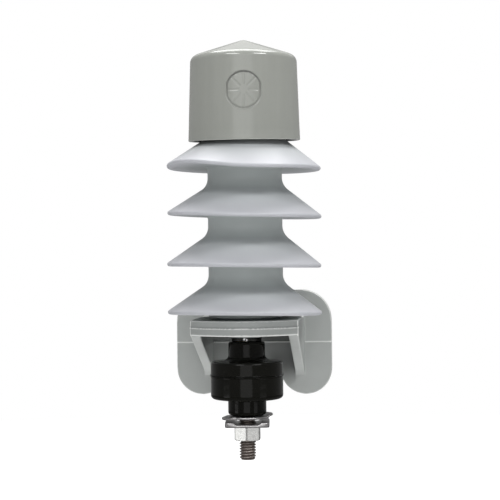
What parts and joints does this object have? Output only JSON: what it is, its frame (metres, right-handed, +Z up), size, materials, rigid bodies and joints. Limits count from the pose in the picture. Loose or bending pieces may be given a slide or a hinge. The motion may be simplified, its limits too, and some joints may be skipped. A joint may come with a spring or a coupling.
{
  "type": "distribution surge arrester",
  "caption": "Polymer-housed distribution surge arrester with conical wildlife cap, shed housing, insulating bracket, ground-lead disconnector and threaded line and ground terminals.",
  "frame": {"origin": "centre of the bolt hole on the back face of the bracket's plate", "axes": "+Z up along the arrester, +Y out of the plate's back face into the support, +X to the right seen from the front"},
  "size_m": [0.094, 0.1008, 0.2389],
  "materials": {
    "bracket_plastic": "moulded glass-filled polyester, light grey, satin",
    "silicone_rubber": "light blue-grey silicone rubber, satin",
    "glass_fibre_wrap": "glass-fibre and resin wrap, straw colour",
    "dark_seal": "black rubber",
    "electrode_aluminium": "turned aluminium",
    "thread_steel": "stainless thread, dull",
    "varistor_ceramic": "sintered metal-oxide ceramic",
    "spring_steel": "plated spring steel",
    "clamp_steel": "stamped stainless steel",
    "nut_steel": "bright stainless steel",
    "cap_plastic": "moulded polymer, warm grey, satin",
    "isolator_plastic": "black moulded thermoset, soft gloss",
    "insert_brass": "turned brass",
    "cartridge_brass": "drawn brass case",
    "resistor_ceramic": "grading ring, fired ceramic"
  },
  "bodies": {
    "root": {"bracket": "bracket_plastic", "shed_housing": "silicone_rubber", "core_wrap": "glass_fibre_wrap", "top_seal": "dark_seal", "line_electrode": "electrode_aluminium", "line_stud": "thread_steel", "mov_block_1": "varistor_ceramic", "mov_block_2": "varistor_ceramic", "mov_block_3": "varistor_ceramic", "mov_block_4": "varistor_ceramic", "contact_disc_upper": "electrode_aluminium", "contact_disc_lower": "electrode_aluminium", "disc_spring": "spring_steel", "base_electrode": "electrode_aluminium", "base_gasket": "dark_seal", "base_stud": "thread_steel", "base_lock_washer": "spring_steel", "line_lower_washer": "clamp_steel", "isolator_upper_shell": "isolator_plastic", "isolator_insert": "insert_brass", "isolator_contact_spring": "spring_steel", "isolator_cartridge": "cartridge_brass", "isolator_resistor": "resistor_ceramic", "isolator_gasket": "dark_seal"},
    "cap": {"wildlife_cap": "cap_plastic"},
    "line_clamp": {"line_saddle_washer": "clamp_steel"},
    "line_nut_body": {"line_nut": "nut_steel"},
    "isolator_lower": {"isolator_lower_shell": "isolator_plastic", "ground_stud": "thread_steel", "ground_upper_washer": "clamp_steel"},
    "ground_clamp": {"ground_saddle_washer": "clamp_steel"},
    "ground_nut_body": {"ground_nut": "nut_steel"}
  },
  "joints": [
    {"name": "cap_lift", "type": "slide", "parent": "root", "child": "cap", "axis": [0, 0, 1], "range_m": [0, 0.1]},
    {"name": "line_clamp_rise", "type": "slide", "parent": "root", "child": "line_clamp", "axis": [0, 0, 1], "range_m": [0, 0.00953]},
    {"name": "line_nut_turn", "type": "hinge", "parent": "line_clamp", "child": "line_nut_body", "pos_m": [0, -0.057, 0.13945], "axis": [0, 0, 1], "range_deg": [0, 2160]},
    {"name": "isolator_drop", "type": "slide", "parent": "root", "child": "isolator_lower", "axis": [0, 0, -1], "range_m": [0, 0.04]},
    {"name": "ground_clamp_drop", "type": "slide", "parent": "isolator_lower", "child": "ground_clamp", "axis": [0, 0, -1], "range_m": [0, 0.00953]},
    {"name": "ground_nut_turn", "type": "hinge", "parent": "ground_clamp", "child": "ground_nut_body", "pos_m": [0, -0.057, -0.04978], "axis": [0, 0, -1], "range_deg": [0, 2160]}
  ],
  "couplings": [
    {"joint": "line_clamp_rise", "follows": "line_nut_turn", "m_per_rad": 0.00025266},
    {"joint": "ground_clamp_drop", "follows": "ground_nut_turn", "m_per_rad": 0.00025266}
  ]
}
